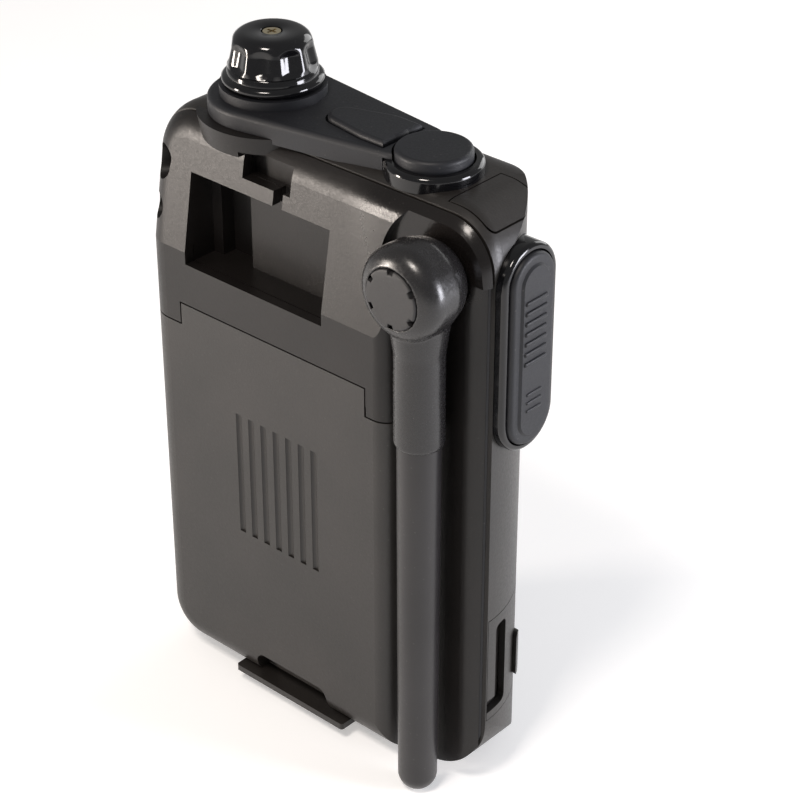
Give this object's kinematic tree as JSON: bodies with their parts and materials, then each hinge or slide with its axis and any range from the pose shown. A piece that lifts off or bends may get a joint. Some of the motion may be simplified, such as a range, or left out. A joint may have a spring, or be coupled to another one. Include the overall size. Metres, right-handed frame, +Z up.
{
  "type": "handheld radio with folding antenna",
  "caption": "Small handheld two-way radio with a folding antenna, side talk key, rotary volume knob, top keys, ribbed battery cover and belt clip seat.",
  "frame": {"origin": "centre of the flat base, on the plane that the case stands on, midway between its front and rear", "axes": "+Z up along the case, +X towards the volume knob's side, -Y out of the front with the loudspeaker, +Y out of the rear with the battery cover"},
  "size_m": [0.0606, 0.0293, 0.0982],
  "materials": {
    "case_plastic": "fine matt texture, black ABS",
    "cover_plastic": "fine matt texture, black ABS",
    "gloss_plastic": "polished black",
    "antenna_plastic": "satin black",
    "antenna_rubber": "satin black",
    "key_rubber": "matt black",
    "brass": "turned",
    "steel": "plated",
    "lens": "polished, tinted",
    "panel_glass": "grey-green",
    "board": "solder resist",
    "tin": "tinned",
    "switch_plastic": "moulded",
    "battery_wrap": "shrink film",
    "contact_gold": "gold plated",
    "foam": "open mesh"
  },
  "bodies": {
    "case": {"rear_housing": "case_plastic", "front_housing": "case_plastic", "housing_gasket": "key_rubber", "battery_pack": "battery_wrap", "battery_contacts": "contact_gold", "headset_jack": "switch_plastic", "charger_insert_left": "gloss_plastic", "charger_insert_right": "gloss_plastic", "talk_bezel": "gloss_plastic", "talk_switch": "switch_plastic", "antenna_bush": "brass", "control_body": "tin", "control_nut": "steel", "top_pad": "key_rubber", "key_plinth": "gloss_plastic", "top_switches": "switch_plastic", "display_window": "lens", "display_panel": "panel_glass", "keypad_mat": "key_rubber", "main_board": "board", "shield_can": "tin", "speaker": "tin", "speaker_mesh": "foam", "microphone": "tin", "case_screws": "steel", "charging_contacts": "contact_gold", "base_stud": "steel"},
    "antenna": {"antenna_head": "antenna_plastic", "antenna_cap": "key_rubber", "antenna_rod": "antenna_rubber", "antenna_pivot": "steel", "antenna_clip": "steel", "antenna_washer": "steel"},
    "cover": {"battery_cover": "cover_plastic"},
    "jack_flap": {"jack_cover": "key_rubber"},
    "knob": {"volume_knob": "gloss_plastic", "knob_screw": "brass", "control_shaft": "steel"},
    "round_key": {"round_top_key": "key_rubber"},
    "side_key": {"side_top_key": "key_rubber"},
    "talk": {"talk_key": "key_rubber"},
    "front_key_1_body": {"front_key_1": "key_rubber"},
    "front_key_2_body": {"front_key_2": "key_rubber"},
    "front_key_3_body": {"front_key_3": "key_rubber"},
    "front_key_4_body": {"front_key_4": "key_rubber"}
  },
  "joints": [
    {"name": "antenna_hinge", "type": "hinge", "parent": "case", "child": "antenna", "pos_m": [-0.0216, 0.012, 0.0768], "axis": [0, 1, 0], "range_deg": [0, 180]},
    {"name": "cover_hinge", "type": "hinge", "parent": "case", "child": "cover", "pos_m": [0, 0.0115, 0.0578], "axis": [1, 0, 0], "range_deg": [0, 75]},
    {"name": "knob_turn", "type": "hinge", "parent": "case", "child": "knob", "pos_m": [0.0142, 0.0005, 0.0896], "axis": [0, 0, 1], "range_deg": [0, 270]},
    {"name": "jack_cover_hinge", "type": "hinge", "parent": "case", "child": "jack_flap", "pos_m": [-0.024, 0.0054, 0.0856], "axis": [-1, 0, 0], "range_deg": [0, 90]},
    {"name": "round_key_press", "type": "slide", "parent": "case", "child": "round_key", "axis": [0, 0, -1], "range_m": [0, 0.0005], "stiffness_N_per_m": 1500, "springref_m": -0.0002},
    {"name": "side_key_press", "type": "slide", "parent": "case", "child": "side_key", "axis": [0, 0, -1], "range_m": [0, 0.0005], "stiffness_N_per_m": 1500, "springref_m": -0.0002},
    {"name": "talk_press", "type": "slide", "parent": "case", "child": "talk", "axis": [1, 0, 0], "range_m": [0, 0.0008], "stiffness_N_per_m": 1500, "springref_m": -0.0003},
    {"name": "front_key_1_press", "type": "slide", "parent": "case", "child": "front_key_1_body", "axis": [0, 1, 0], "range_m": [0, 0.00035], "stiffness_N_per_m": 1500, "springref_m": -0.0002},
    {"name": "front_key_2_press", "type": "slide", "parent": "case", "child": "front_key_2_body", "axis": [0, 1, 0], "range_m": [0, 0.00035], "stiffness_N_per_m": 1500, "springref_m": -0.0002},
    {"name": "front_key_3_press", "type": "slide", "parent": "case", "child": "front_key_3_body", "axis": [0, 1, 0], "range_m": [0, 0.00035], "stiffness_N_per_m": 1500, "springref_m": -0.0002},
    {"name": "front_key_4_press", "type": "slide", "parent": "case", "child": "front_key_4_body", "axis": [0, 1, 0], "range_m": [0, 0.00035], "stiffness_N_per_m": 1500, "springref_m": -0.0002}
  ]
}
